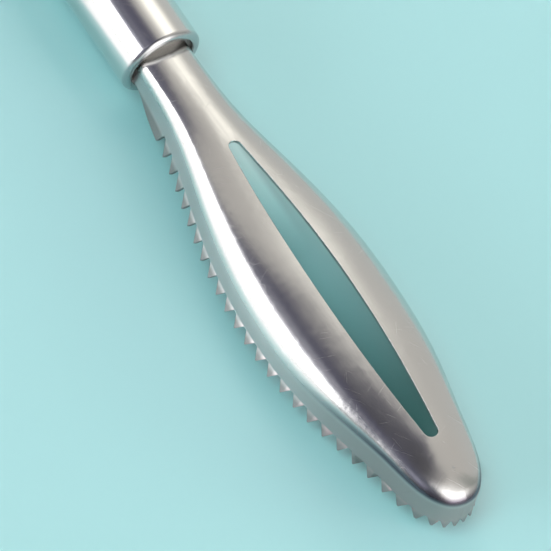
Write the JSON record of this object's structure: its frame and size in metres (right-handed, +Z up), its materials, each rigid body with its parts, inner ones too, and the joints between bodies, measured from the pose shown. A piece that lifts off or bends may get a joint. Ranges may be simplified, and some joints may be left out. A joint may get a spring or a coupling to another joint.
{
  "type": "fish scaler",
  "caption": "Stainless steel fish scaler: round tube handle and a leaf-shaped pressed head with a slot in its crown and a toothed rim.",
  "frame": {"origin": "on the handle's axis, half-way along the handle tube", "axes": "+X along the handle's axis towards the head's tip, +Z up through the head's crown, +Y to the side"},
  "size_m": [0.2288, 0.0354, 0.019],
  "materials": {
    "head_steel": "satin-polished stainless steel with fine wear scratches",
    "handle_steel": "polished stainless steel tube",
    "cap_steel": "polished stainless steel",
    "plug_steel": "plain turned steel, hidden inside the tube"
  },
  "bodies": {
    "root": {"scaling_head": "head_steel", "handle_tube": "handle_steel", "end_cap": "cap_steel", "shank_plug": "plug_steel"}
  },
  "joints": []
}
